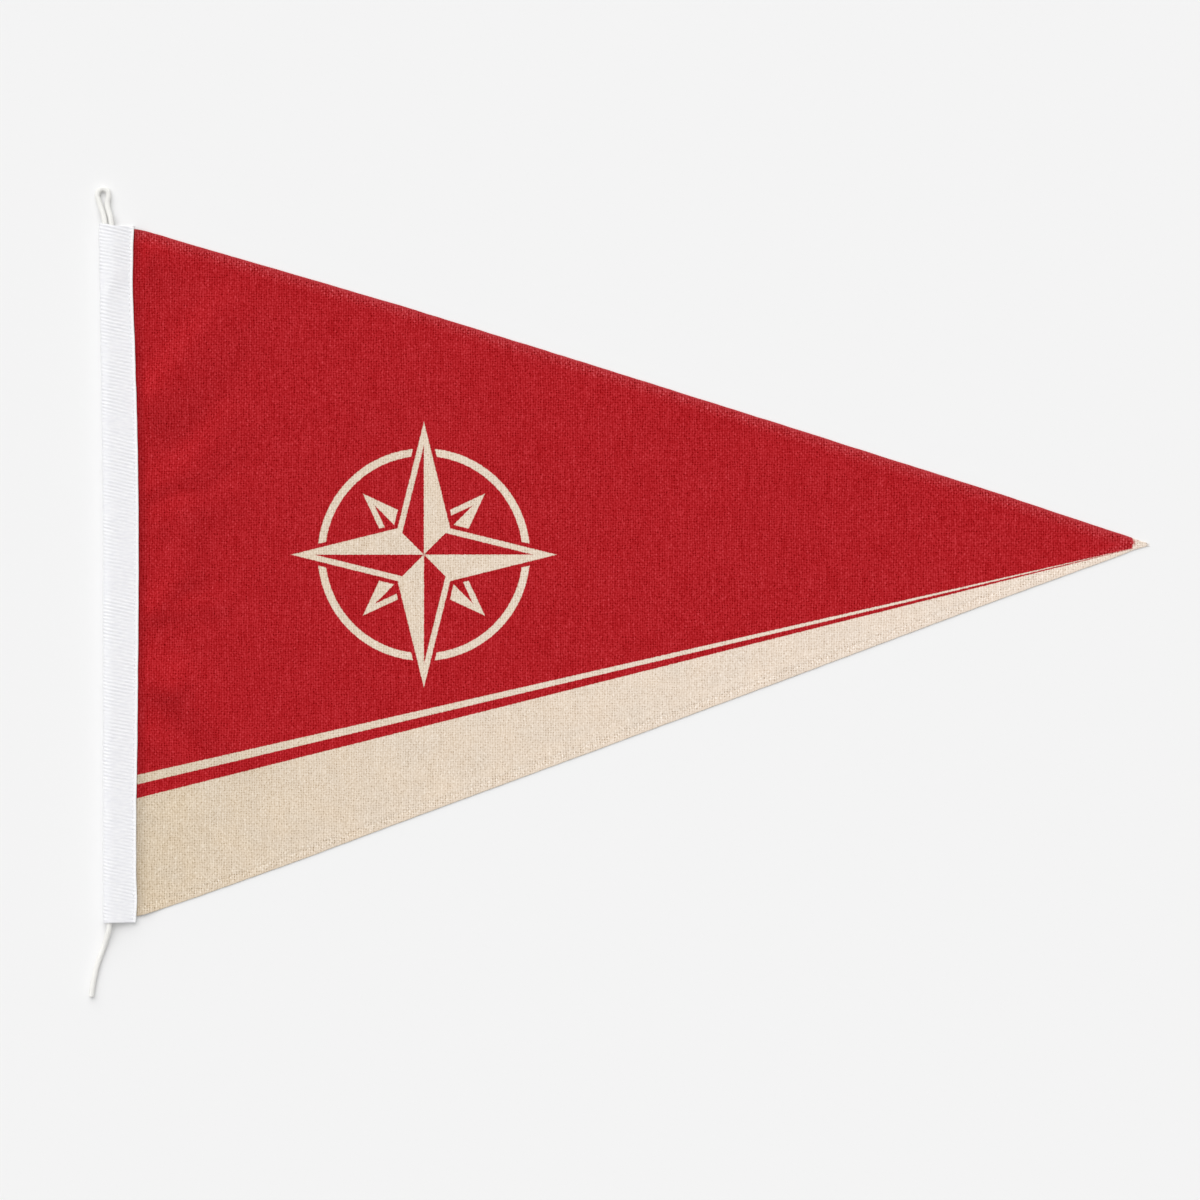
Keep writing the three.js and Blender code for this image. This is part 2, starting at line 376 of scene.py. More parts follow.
# %% The cord's route
CORD_DIAMETER = 2.4
LOOP_ROUTE = [
    (5.3, 283, 2.5), (5.2, 292, 2.5), (5.3, 299.5, 2.5), (4.8, 303, 2.2), (3.7, 306.5, 1.6),
    (3.4, 309.3, 1.25), (3.9, 312.2, 1.2), (3.3, 314.3, 1.2), (1.5, 315.2, 1.2), (-0.3, 314.3, 1.2),
    (-0.9, 312.2, 1.2), (-0.1, 309.3, 1.25), (0.8, 306.5, 1.6), (2.0, 303, 2.2), (2.5, 300, 2.5),
    (2.5, 292, 2.5), (2.7, 283, 2.5),
]
RUN_ROUTE = [
    (3.2, 250, 2.5), (3.8, 215, 2.5), (4.2, 180, 2.5), (4.3, 125, 2.5), (4.3, 60, 2.5), (4.3, 15, 2.5),
    (4.3, 4, 2.5), (4.3, 0, 2.5), (4.2, -3, 2.5), (3.2, -6.5, 1.9), (2, -10, 1.3), (0.9, -13, 1.2),
    (-0.4, -16.5, 1.2), (-1.9, -22, 1.2), (-2.9, -27, 1.2), (-3.5, -31.5, 1.2),
]
ROUTE_STEP = 0.5

cord_line = spline(LOOP_ROUTE + RUN_ROUTE, ROUTE_STEP)

# %% White polyester cord
# Polyester filament is drawn smooth and left undyed, so it is a clean white with a soft gloss that
# breaks up along the strands.
FILAMENT = 0.25
cord_finish = {"Roughness": 0.55, "IOR": 1.55, "Sheen_Weight": 0.25, "Sheen_Roughness": 0.4}
cord_white, cord_tree, cord_shader = new_material("white_polyester_cord", **cord_finish)
place = node(cord_tree, "ShaderNodeTexCoord").outputs["Object"]
filaments = speckle(cord_tree, place, FILAMENT * MM, 2.0)
tint = mixed(cord_tree, filaments, linear("#F2F1EC"), linear("#FFFEFB"))
wire(cord_tree, cord_shader, {"Base Color": tint})

# %% The braid, as a tree that follows a path
braid, size = new_tree(
    "braid",
    **{"Strands each way": 8, "Strand radius": 0.0003, "Middle radius": 0.0008, "Rise": 0.00012},
    **{"Lay": 0.009, "Core radius": 0.0007, "Step": 0.0003},
)
path = even_line(braid, size["Geometry"], size["Step"])
both_ways = calc(braid, "MULTIPLY", size["Strands each way"], 2.0)
copies = node(braid, "GeometryNodeDuplicateElements", {0: path, "Amount": both_ways}, domain="SPLINE")
index = copies.outputs["Duplicate Index"]
odd = calc(braid, "MODULO", index, 2.0)
way = calc(braid, "MULTIPLY_ADD", odd, -2.0, 1.0)
slot = calc(braid, "DIVIDE", index, 2.0)
slot = calc(braid, "FLOOR", slot)
share = calc(braid, "DIVIDE", slot, size["Strands each way"])
along = node(braid, "GeometryNodeSplineParameter").outputs["Length"]
turns = calc(braid, "DIVIDE", along, size["Lay"])
wound = calc(braid, "MULTIPLY_ADD", turns, way, share)
angle = calc(braid, "MULTIPLY", wound, math.tau)
crossings = calc(braid, "MULTIPLY", turns, size["Strands each way"])
crossings = calc(braid, "MULTIPLY", crossings, math.tau)
over = calc(braid, "COSINE", crossings)
over = calc(braid, "MULTIPLY", over, way)
radius = calc(braid, "MULTIPLY_ADD", over, size["Rise"], size["Middle radius"])
side = node(braid, "GeometryNodeInputNormal")
tangent = node(braid, "GeometryNodeInputTangent")
up = calc_vector(braid, "CROSS_PRODUCT", tangent, side)
part_side = calc(braid, "COSINE", angle)
part_up = calc(braid, "SINE", angle)
step_side = scaled(braid, side, part_side)
step_up = scaled(braid, up, part_up)
outwards = calc_vector(braid, "ADD", step_side, step_up)
outwards = scaled(braid, outwards, radius)
strands = node(braid, "GeometryNodeSetPosition", {0: copies, "Offset": outwards})
strands = tube(braid, strands, sides=6, radius=size["Strand radius"])
core = tube(braid, path, sides=12, radius=size["Core radius"])
whole = node(braid, "GeometryNodeJoinGeometry", {0: strands})
braid.links.new(core.outputs[0], whole.inputs[0])
end_tree(braid, whole, cord_white)

# %% The cord itself
# The loop and the tail reach 8 mm into the heading as braid. A plain tube carries on inside, from two
# points before the end of one to two points past the start of the other, by every sixth point.
INSIDE = 8
OVERLAP = 2
TUBE_EVERY = 6
SEALED_RADIUS = 1.12
SEALED_FLATNESS = 0.7
loop_top = int(np.argmax(cord_line[:, 1]))
loop_end = next(i for i, p in enumerate(cord_line) if i > loop_top and p[1] < HOIST - INSIDE)
tail_start = next(i for i, p in enumerate(cord_line) if i > loop_end and p[1] < INSIDE)
loop_braid = grown(polyline(cord_line[: loop_end + 1]), braid)
tail_braid = grown(polyline(cord_line[tail_start:]), braid)
hidden = polyline(cord_line[loop_end - OVERLAP : tail_start + OVERLAP + 1 : TUBE_EVERY])
plain_tube = {"Strands each way": 0, "Core radius": CORD_DIAMETER / 2 * MM, "Step": 0.004}
hidden_tube = grown(hidden, braid, **plain_tube)

sealed_end = bmesh.new()
bmesh.ops.create_uvsphere(sealed_end, u_segments=14, v_segments=8, radius=SEALED_RADIUS * MM)
for point in sealed_end.verts:
    point.co.y *= SEALED_FLATNESS
    point.co += Vector(to_frame(cord_line[-1]))
bead = bpy.data.meshes.new("sealed_end")
sealed_end.to_mesh(bead)
sealed_end.free()

hoist_cord = joined("hoist_cord", [loop_braid, tail_braid, hidden_tube, bead], cord_white)
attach(hoist_cord, "root")
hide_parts("hoist_cord_loop", "hoist_cord_run")

# %% [markdown]
# ## The shape of the cloth
#
# Bunting is a light, open plain weave, about 0.2 mm thick. Both leeches, as flag makers call the long
# sides of a pennant, are turned once and stitched, so the hem is two layers thick. Laid on a table the
# cloth touches it nearly everywhere, but it stands up where the heading holds it, and low puckers fan
# out from the places where the stitching has drawn it in. Such shallow, particular folds are quicker
# to list one by one than to wait for in a cloth simulation, which would also lose them as it settles.
# So the sheet is a closed grid: one ring of points across the cloth, over the top and back underneath,
# repeated from the heading to the tip.

# %% Outline, hem and folds of the cloth
CLOTH_THICK = 0.22
LAYERS_IN_HEM = 2
HEM_WIDTH = 4.5
STITCH_INSET = 3.7
CLOTH_START = 9
LEVEL_TO = 17
HELD_AT = 1.0
DROP_LENGTH = 5
PUCKER_RAMP = 4
CALM_EDGE = 14
LIFT_OFF = 0.12
EDGE_ROUND = 0.2
HEM_SLOPE = 5
HEM_OPENS = 15
HEMS_MEET = 427
MEETING_LENGTH = 12
GROOVE_DEPTH = 0.06
GROOVE_WIDTH = 0.45
RIPPLE_HEIGHT = 0.05
RIPPLE_WIDTH = 3
RIPPLE_LENGTH = 3.4
WAVE_HEIGHT = 0.2
WAVE_LENGTH = 42
SMALL_WAVE_HEIGHT = 0.12
SMALL_WAVE_LENGTH = 15

# Each row is a place along the fly, with both leeches there.
LEECHES = [
    (9, 2.2, 298.2), (17, 2.5, 298), (43, 11.3, 290.2), (86, 26.7, 277.8), (129, 42.9, 265.2),
    (215, 74.6, 238.5), (301, 106.7, 211.4), (387, 138.9, 184.1), (429, 154.1, 170.1),
    (442, 158.8, 166), (446.6, 161.1, 163.9), (450, 161.8, 162.8),
]
# Each row is a ridge running away from the heading: its two ends, its height at each of them, and how
# far it reaches on its upper and on its lower side.
PUCKERS = [
    (17, 287, 27, 284, 3.4, 1.0, 9, 18), (24, 226, 50, 260, 3.7, 1.4, 12, 28),
    (20, 185, 40, 193, 1.3, 1.2, 12, 8), (38, 194, 54, 214, 2.1, 1.0, 12, 20),
    (32, 174, 56, 184, 1.7, 0.8, 13, 16), (36, 176, 36, 150, 2.3, 2.0, 16, 10),
    (24, 134, 34, 147, 1.7, 1.4, 9, 9), (20, 133, 52, 137, 1.3, 0.7, 10, 9),
    (20, 105, 33, 101, 2.2, 3.4, 15, 13), (33, 101, 59, 71, 3.4, 1.2, 17, 13),
    (21, 79, 36, 69, 1.3, 0.5, 8, 9), (18, 3, 22, 4, 1.0, 0.5, 6, 6),
]
leech_x, leech_lower, leech_upper = zip(*LEECHES)
# Each row is a height up the hoist, with the fold, the stitched edge and the skew of the cut end.
HEADING_ROWS = [
    (0, 1.7, 15.6, 0), (6, 1.7, 16.1, 0), (22, 1.7, 15.9, 0), (50, 1.7, 15.9, 0), (85, 1.7, 16.4, 0),
    (125, 1.7, 16.7, 0), (180, 1.6, 16.8, 0), (215, 1.2, 16.2, 0), (250, 0.6, 15.1, 0),
    (276, 0.2, 14.3, 0), (292, 0, 14.6, 0.2), (300, 0, 14.9, 0.6),
]
row_y, row_left, row_right, row_skew = zip(*HEADING_ROWS)


def leech(x, edge):
    """A leech at x. Its table's straight lines are rounded over a few millimetres."""
    near = [np.interp(np.minimum(x + shift, FLY), leech_x, edge) for shift in (-4, -2, 0, 2, 4)]
    return np.mean(near, axis=0)


def pucker_height(x, y):
    """Height of the puckers at a place. Cubes make one ridge run into the next without a step."""
    cubed = 0
    for x0, y0, x1, y1, start, end, above, below in PUCKERS:
        run = (x1 - x0, y1 - y0)
        t = np.clip(((x - x0) * run[0] + (y - y0) * run[1]) / (run[0] ** 2 + run[1] ** 2), 0, 1)
        away = np.hypot(x - x0 - t * run[0], y - y0 - t * run[1])
        aside = (run[0] * (y - y0) - run[1] * (x - x0)) / math.hypot(*run)
        reach = (above + below) / 2 + (above - below) / 2 * aside / np.maximum(away, CLOTH_THICK)
        profile = np.cos(np.minimum(away / reach, 1) * math.pi / 2) ** 2
        cubed = cubed + (profile * (start + (end - start) * t)) ** 3
    return np.cbrt(cubed)


def resting_height(x, y, inset):
    """The underside of the cloth: held in the heading, then down to the surface in soft waves."""
    past = x - LEVEL_TO
    held = HELD_AT * (1 - smooth(past / DROP_LENGTH))
    waves = WAVE_HEIGHT + WAVE_HEIGHT * uneven(x, y, WAVE_LENGTH, seed=1)
    waves = waves + SMALL_WAVE_HEIGHT * uneven(x, y, SMALL_WAVE_LENGTH, seed=2)
    waves = np.maximum(waves, 0) * smooth(inset / CALM_EDGE)
    return LIFT_OFF + held + smooth(past / PUCKER_RAMP) * (waves + pucker_height(x, y))


def cloth_faces(x, y, inset, squeeze):
    """Underside and top of the cloth. The hem narrows by the factor squeeze towards the tip."""
    out_of_heading = smooth((x - HEM_OPENS) / PUCKER_RAMP)
    at_tip = smooth((x - HEMS_MEET) / MEETING_LENGTH)
    layers = (LAYERS_IN_HEM - 1) * CLOTH_THICK * out_of_heading
    inside = inset / squeeze
    drape = np.maximum(1 - smooth((inside - HEM_WIDTH) / HEM_SLOPE), at_tip)
    folded = np.maximum(inside < HEM_WIDTH, at_tip)
    groove = np.exp(-(((inside - STITCH_INSET) / GROOVE_WIDTH) ** 2)) * (1 - at_tip)
    ripple = np.exp(-(((inside - STITCH_INSET) / RIPPLE_WIDTH) ** 2))
    ripple = ripple * uneven(x, y, RIPPLE_LENGTH, seed=3)
    top = resting_height(x, y, inset) + CLOTH_THICK + layers * drape
    top = top + out_of_heading * (RIPPLE_HEIGHT * ripple - GROOVE_DEPTH * groove)
    under = top - CLOTH_THICK - layers * folded
    under = np.maximum(under, LIFT_OFF / 2)
    middle = (top + under) / 2
    turned = np.sqrt(1 - (1 - np.clip(inset / EDGE_ROUND, 0, 1)) ** 2)
    return middle + (under - middle) * turned, middle + (top - middle) * turned


# %% The cloth's grid
HELD_COLUMNS = [CLOTH_START, 12, 14, 15.5]
COLUMN_STEP = 2.0
FINE_FROM = 437
FINE_STEP = 1.0
FINEST_FROM = 447
FINEST_STEP = 0.5
FIELD_STEPS = 112
NARROW_FIELD = 0.5
EDGE_WANDER = 0.12
EDGE_STEPS = [0, 0.03, 0.1, 0.2, 0.3, 1.4, 2.4, 3.1, 3.5, 3.7, 3.9, 4.3, 4.45, 4.55, 5.2, 6.2, 7.5]


def squeeze_for(width):
    """How far both hems have to narrow where the cloth is too narrow for them."""
    return np.minimum(1, width / 2 / (EDGE_STEPS[-1] + NARROW_FIELD))


columns = np.concatenate([
    HELD_COLUMNS,
    np.arange(LEVEL_TO, FINE_FROM, COLUMN_STEP),
    np.arange(FINE_FROM, FINEST_FROM, FINE_STEP),
    np.arange(FINEST_FROM, FLY, FINEST_STEP),
    [FLY],
])
stations = []
for x in columns:
    lower = leech(x, leech_lower) + EDGE_WANDER * uneven(x, 0, size=5, seed=4)
    upper = leech(x, leech_upper) + EDGE_WANDER * uneven(x, 0, size=5, seed=5)
    squeeze = squeeze_for(upper - lower)
    near = np.array(EDGE_STEPS) * squeeze
    field = np.linspace(lower + near[-1], upper - near[-1], FIELD_STEPS + 2)[1:-1]
    y = np.concatenate([lower + near, field, (upper - near)[::-1]])
    stations.append((y, np.minimum(y - lower, upper - y), np.full(len(y), squeeze)))
across, insets, squeezes = (np.array(rows) for rows in zip(*stations))
fly_place = np.repeat(columns[:, None], across.shape[1], axis=1)
under, top = cloth_faces(fly_place, across, insets, squeezes)

top_points = np.stack([fly_place, across, top], axis=-1)
under_points = np.stack([fly_place, across, under], axis=-1)[:, -2:0:-1]
rings = np.concatenate([top_points, under_points], axis=1)
count, around = rings.shape[:2]
wide = across.shape[1]
faces = grid_faces(count, around, around=True)
for start in (0, (count - 1) * around):
    low_side = [start] + [start + around - i for i in range(1, wide - 1)] + [start + wide - 1]
    faces += [(start + i, start + i + 1, low_side[i + 1], low_side[i]) for i in range(1, wide - 2)]
    faces += [(start, start + 1, low_side[1]), (start + wide - 2, start + wide - 1, low_side[wide - 2])]
print(f"cloth grid {count} by {around}")

# %% [markdown]
# ## Printed bunting
#
# The cloth is woven from spun yarn in its natural cream, and the red is printed over it. Its surface is
# quite matt. Real bunting has nearly twenty yarns to the centimetre. They are drawn at ten, which is as
# coarse as they need to be to show. Three things make the cloth look woven: painted shade that darkens
# the pores between the yarns and lightens the yarns' crowns, yarns that are thicker and paler in places,
# and slow changes of tone over a centimetre or two. All three are worked out from the same coordinates
# in millimetres, so the print and the weave stay in place whatever the view. The ink leaves a wind rose
# and a tapering foot band bare, both plain traditional figures: a wind rose is straight lines folded
# eight times about its centre, and the band is what lies below a line drawn from the hoist to the tip.

# %% Print layout
ROSE_CENTRE = (139.3, 158)
ROSE_LONG_POINT = 57
ROSE_LONG_WAIST = 16
ROSE_SHORT_POINT = 37
ROSE_SHORT_WAIST = 14
ROSE_OUTLINE = 2.4
ROSE_GAP = 1.8
RING_RADIUS = 44
RING_WIDTH = 3.2
TIP = (451, 162.3)
BAND_AT_HOIST = 53.5
STRIPE_AT_HOIST = (59.5, 63.5)
INK_ENDS = 444.5
WEAR = 6
WEAR_SIZE = 1.8
TIP_BLUR = 2.5
EDGE_BLUR = 0.3


def before(tree, distance, blur=EDGE_BLUR):
    """1 where a signed distance is below zero, 0 where it is above, with a narrow soft step."""
    return ramp(tree, distance, -blur / 2, blur / 2, 1.0, 0.0)


def every(tree, *shares):
    """1 only where all the shares are 1."""
    whole = shares[0]
    for share in shares[1:]:
        whole = calc(tree, "MULTIPLY", whole, share)
    return whole


def either(tree, *shares):
    """1 where any of the shares is 1."""
    whole = shares[0]
    for share in shares[1:]:
        whole = calc(tree, "MAXIMUM", whole, share)
    return whole


def below_ray(tree, x, y, at_hoist):
    """1 below a straight line from the hoist, at that height, to the tip."""
    slope = (TIP[1] - at_hoist) / (TIP[0] - LEVEL_TO)
    line = calc(tree, "MULTIPLY_ADD", x, slope, TIP[1] - TIP[0] * slope)
    return before(tree, calc(tree, "SUBTRACT", y, line))


def point_edge(tree, along, aside, reach, waist):
    """Signed distance to the side of one point of the rose, below zero inside the point."""
    corner = waist * math.sqrt(0.5)
    size = math.hypot(corner, reach - corner)
    part = calc(tree, "MULTIPLY_ADD", along, corner / size, -corner * reach / size)
    return calc(tree, "MULTIPLY_ADD", aside, (reach - corner) / size, part)


def rose(tree, x, y):
    """1 where the wind rose is left bare."""
    aside_x = calc(tree, "SUBTRACT", x, ROSE_CENTRE[0])
    aside_y = calc(tree, "SUBTRACT", y, ROSE_CENTRE[1])
    size_x = calc(tree, "ABSOLUTE", aside_x)
    size_y = calc(tree, "ABSOLUTE", aside_y)
    longer = calc(tree, "MAXIMUM", size_x, size_y)
    shorter = calc(tree, "MINIMUM", size_x, size_y)
    total = calc(tree, "ADD", longer, shorter)
    excess = calc(tree, "SUBTRACT", longer, shorter)
    turned_along = calc(tree, "MULTIPLY", total, math.sqrt(0.5))
    turned_aside = calc(tree, "MULTIPLY", excess, math.sqrt(0.5))
    long_edge = point_edge(tree, longer, shorter, ROSE_LONG_POINT, ROSE_LONG_WAIST)
    short_edge = point_edge(tree, turned_along, turned_aside, ROSE_SHORT_POINT, ROSE_SHORT_WAIST)

    # Neighbouring eighths of the turn are opposite halves of the points.
    side = calc(tree, "SUBTRACT", size_x, size_y)
    half_turn = calc(tree, "MULTIPLY", aside_x, aside_y)
    half_turn = calc(tree, "MULTIPLY", half_turn, side)
    one_half = before(tree, half_turn)
    other_half = calc(tree, "SUBTRACT", 1.0, one_half)

    def outline(edge):
        return before(tree, calc(tree, "SUBTRACT", -ROSE_OUTLINE, edge))

    def clear_of(edge):
        return before(tree, calc(tree, "SUBTRACT", ROSE_GAP, edge))

    long_points = every(tree, before(tree, long_edge), either(tree, one_half, outline(long_edge)))
    short_points = every(tree, before(tree, short_edge), either(tree, other_half, outline(short_edge)))
    short_points = every(tree, short_points, clear_of(long_edge))
    square_x = calc(tree, "MULTIPLY", aside_x, aside_x)
    square = calc(tree, "MULTIPLY_ADD", aside_y, aside_y, square_x)
    reach = calc(tree, "SQRT", square)
    off_ring = calc(tree, "SUBTRACT", reach, RING_RADIUS)
    off_ring = calc(tree, "ABSOLUTE", off_ring)
    off_ring = calc(tree, "SUBTRACT", off_ring, RING_WIDTH / 2)
    ring = every(tree, before(tree, off_ring), clear_of(long_edge), clear_of(short_edge))
    return either(tree, long_points, short_points, ring)


# %% The weave and the ink
WARP_PITCH = 1.07
WEFT_PITCH = 1.03
WARP_LEVEL = 0.65
WARP_CRIMP = 0.35
WEFT_LEVEL = 0.39
WEFT_CRIMP = 0.21
SLUB_LENGTH = 14
CLOUD_SIZE = 14
CLOUD_TINT = 0.5
GRIT_SIZE = 0.75
PORE_PAINTED_SHADE = 0.95
# Painted shade beside the heading: how far it reaches, and how dark it is at the tape's edge.
PAINTED_SHADE_WIDTH = 5.0
PAINTED_SHADE_TONE = 0.78
HEM_TEXTURE = 1.5
FOLD_TEXTURE = 0.4
BLEACHING = 0.35
# Painted highlight along both leeches: its strength at the edge and how far in it fades.
EDGE_HIGHLIGHT = 0.08
EDGE_HIGHLIGHT_WIDTH = 6.0
BARE_FOLD = 0.06

# Each pair is a factor and a number to add.
RELIEF_TO_PAINTED_SHADE = (0.3, -0.1)
TONE_TO_DEPTH = (-0.9, 1.9)
TONE_TO_LOSS = (0.4, 0.6)

# Each pair is where a change along the hem starts and ends, in millimetres from the leech.
HEM_CHANGE = (HEM_WIDTH - 1, HEM_WIDTH + 1.5)
FOLD_CHANGE = (0.7, 1.5)
BARE_CHANGE = (0.6, 1.4)


def shift_of(tree, place, size, amount, detail):
    """An uneven shift of up to about half the amount each way, with changes of the given size."""
    shift = speckle(tree, place, size, detail).outputs["Color"]
    shift = calc_vector(tree, "SUBTRACT", shift, (0.5, 0.5, 0.5))
    return scaled(tree, shift, amount)


def bunting(name, through_cloth):
    """Printed bunting. The ink soaks through, so the back shows the same print, a little paler."""
    # Fibre ends stand up all over spun cloth and scatter its gloss, so next to none is seen.
    material, tree, shader = new_material(name, Roughness=0.6, IOR=1.5, Specular_IOR_Level=0.02)
    here = node(tree, "ShaderNodeTexCoord").outputs["Object"]
    flag = node(tree, "ShaderNodeMapping", {0: here, 1: (-FOLD_X, -FOOT_Y, 0), 3: (1 / MM,) * 3})

    # Yarns wander by up to a yarn's width over a few centimetres, and by half as much over a few mm.
    drift = shift_of(tree, flag, size=26, amount=1.6, detail=2.0)
    jitter = shift_of(tree, flag, size=3, amount=0.9, detail=1.0)
    lie = calc_vector(tree, "ADD", flag, drift)
    lie = calc_vector(tree, "ADD", lie, jitter)
    yarns = node(tree, "ShaderNodeMapping", {0: lie, 3: (1 / WARP_PITCH, 1 / WEFT_PITCH, 0)})
    cell = node(tree, "ShaderNodeSeparateXYZ", {0: yarns})
    turn_x = calc(tree, "MULTIPLY", cell.outputs["X"], math.pi)
    turn_y = calc(tree, "MULTIPLY", cell.outputs["Y"], math.pi)
    wave_x = calc(tree, "SINE", turn_x)
    wave_y = calc(tree, "SINE", turn_y)
    over = calc(tree, "MULTIPLY", wave_x, wave_y)
    warp_over = calc(tree, "MULTIPLY_ADD", over, WARP_CRIMP, WARP_LEVEL)
    weft_over = calc(tree, "MULTIPLY_ADD", over, -WEFT_CRIMP, WEFT_LEVEL)
    warp_round = calc(tree, "ABSOLUTE", wave_x)
    weft_round = calc(tree, "ABSOLUTE", wave_y)
    warp_top = calc(tree, "MULTIPLY", warp_round, warp_over)
    weft_top = calc(tree, "MULTIPLY", weft_round, weft_over)
    relief = calc(tree, "MAXIMUM", warp_top, weft_top)

    # Spun yarn has thick and thin places, each a centimetre or two long.
    warp_run = node(tree, "ShaderNodeMapping", {0: lie, 3: (1 / WARP_PITCH, 1 / SLUB_LENGTH, 0)})
    weft_run = node(tree, "ShaderNodeMapping", {0: lie, 3: (1 / SLUB_LENGTH, 1 / WEFT_PITCH, 0)})
    warp_slub = speckle(tree, warp_run, 1, 1.0)
    weft_slub = speckle(tree, weft_run, 1, 1.0)
    clouds = speckle(tree, flag, CLOUD_SIZE, 3.0)
    grit = speckle(tree, flag, GRIT_SIZE, 0.0)

    # A pore shows where four yarns leave a corner open. Spun yarn fills some corners and not others.
    corner = calc_vector(tree, "ADD", yarns, (0.5, 0.5, 0.5))
    corner = calc_vector(tree, "FLOOR", corner)
    corner = node(tree, "ShaderNodeTexWhiteNoise", {0: corner}, noise_dimensions="3D")
    gap_x = calc(tree, "SUBTRACT", 1.0, warp_round)
    gap_y = calc(tree, "SUBTRACT", 1.0, weft_round)
    pore = every(tree, gap_x, gap_y, corner, corner)

    # The tone is 1 on average. It varies more over the hem, whose layers lift the yarns apart, and less
    # along the folded edge, where they are pulled tight.
    # The yarns' crowns are painted lighter and the open pores darker: painted shade for the weave's
    # relief.
    tone = calc(tree, "MULTIPLY_ADD", relief, *RELIEF_TO_PAINTED_SHADE)
    tone = calc(tree, "MULTIPLY_ADD", pore, -PORE_PAINTED_SHADE, tone)
    unevenness = ((warp_slub, 0.28), (weft_slub, 0.08), (clouds, 0.06), (grit, 0.47))
    for source, weight in unevenness:
        centred = calc(tree, "SUBTRACT", source, 0.5)
        tone = calc(tree, "MULTIPLY_ADD", centred, weight, tone)
    from_leech = node(tree, "ShaderNodeAttribute", attribute_name="from_leech").outputs["Fac"]
    over_hem = ramp(tree, from_leech, *HEM_CHANGE, HEM_TEXTURE, 1.0)
    at_fold = ramp(tree, from_leech, *FOLD_CHANGE, FOLD_TEXTURE, 1.0)
    strength = calc(tree, "MULTIPLY", over_hem, at_fold)
    tone = calc(tree, "MULTIPLY_ADD", tone, strength, 1.0)

    # Ink creeps along the yarns, which makes its edges uneven by up to a quarter of a millimetre.
    creep = shift_of(tree, flag, size=0.8, amount=0.5, detail=1.0)
    inked = node(tree, "ShaderNodeSeparateXYZ", {0: calc_vector(tree, "ADD", flag, creep)})
    x, y = inked.outputs["X"], inked.outputs["Y"]
    stripe_low = below_ray(tree, x, y, STRIPE_AT_HOIST[0])
    above_low = calc(tree, "SUBTRACT", 1.0, stripe_low)
    stripe = every(tree, above_low, below_ray(tree, x, y, STRIPE_AT_HOIST[1]))
    worn = speckle(tree, flag, WEAR_SIZE, 1.0)
    worn = calc(tree, "MULTIPLY_ADD", worn, -WEAR, INK_ENDS + WEAR / 2)
    tip = before(tree, calc(tree, "SUBTRACT", worn, x), TIP_BLUR)
    bare = either(tree, below_ray(tree, x, y, BAND_AT_HOIST), stripe, rose(tree, x, y), tip)

    # The fly end flaps most and bleaches first.
    along_fly = node(tree, "ShaderNodeSeparateXYZ", {0: flag}).outputs["X"]
    bleached = calc(tree, "DIVIDE", along_fly, FLY)
    bleached = calc(tree, "POWER", bleached, BLEACHING)
    cream = mixed(tree, bleached, linear("#CCB68D"), linear("#F5E2D1"))
    cream = mixed(tree, calc(tree, "MULTIPLY", clouds, CLOUD_TINT), cream, linear("#CFC6BB"))
    # Both leeches are painted lighter and pinker for a few mm, a painted highlight on the turned edges,
    # and the fold itself is paler again.
    edge_highlight_and_bare_fold = ramp(tree, from_leech, 0.0, EDGE_HIGHLIGHT_WIDTH, EDGE_HIGHLIGHT, 0.0)
    bare_fold = ramp(tree, from_leech, *BARE_CHANGE, BARE_FOLD, 0.0)
    edge_highlight_and_bare_fold = calc(tree, "ADD", edge_highlight_and_bare_fold, bare_fold)
    red = mixed(tree, edge_highlight_and_bare_fold, linear("#AE1D23"), linear("#D67F84"))
    pale = mixed(tree, 1 - through_cloth, red, cream)
    dyed = mixed(tree, bare, pale, cream)

    # Light in a pore has bounced from yarn to yarn, so pores are deeper in colour as well as darker.
    depth = calc(tree, "MULTIPLY_ADD", tone, *TONE_TO_DEPTH)
    loss = calc(tree, "MULTIPLY_ADD", tone, *TONE_TO_LOSS)

    # Beside the thick heading the cloth is painted darker for a few mm: a painted shade along the
    # heading's edge.
    beside = node(tree, "ShaderNodeAttribute", attribute_name="from_heading").outputs["Fac"]
    painted_shade_or_pressed_ribs = ramp(tree, beside, 0.0, PAINTED_SHADE_WIDTH, PAINTED_SHADE_TONE, 1.0, interpolation_type="SMOOTHSTEP")
    loss = calc(tree, "MULTIPLY", loss, painted_shade_or_pressed_ribs)
    shade = node(tree, "ShaderNodeGamma", {"Color": dyed, "Gamma": depth})
    shade = scaled(tree, shade, loss)
    bump = node(tree, "ShaderNodeBump", {"Strength": 0.5, "Distance": 0.15 * MM, "Height": relief})
    wire(tree, shader, {"Base Color": shade, "Normal": bump})
    return material


front = bunting("printed_bunting", 1.0)
back = bunting("printed_bunting_back", 0.88)

mesh = mesh_of("cloth", rings.reshape(-1, 3), faces)
mesh.materials.append(front)
mesh.materials.append(back)
on_top = [i % around < wide - 1 if i < (count - 1) * around else True for i in range(len(faces))]
mesh.polygons.foreach_set("material_index", [0 if t else 1 for t in on_top])
store(mesh, "from_leech", np.concatenate([insets, insets[:, -2:0:-1]], axis=1))
store(mesh, "from_heading", rings[:, :, 0] - through(rings[:, :, 1], row_y, row_right))
cloth = new_object("cloth", mesh, front)
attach(cloth, "root")
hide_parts("cloth_panel")

# %% [markdown]
# ## The heading tape
#
# The heading is a white ribbed tape, woven with a thick weft so that fine ribs run across it, with a
# smooth selvedge along each side. It is folded lengthwise over the cord and the cloth. Its section is
# drawn once as a line and swept up the hoist, following the places where the real edge wavers. The ribs
# repeat every 1.6 mm or so, and Geometry Nodes press them into the surface afterwards.

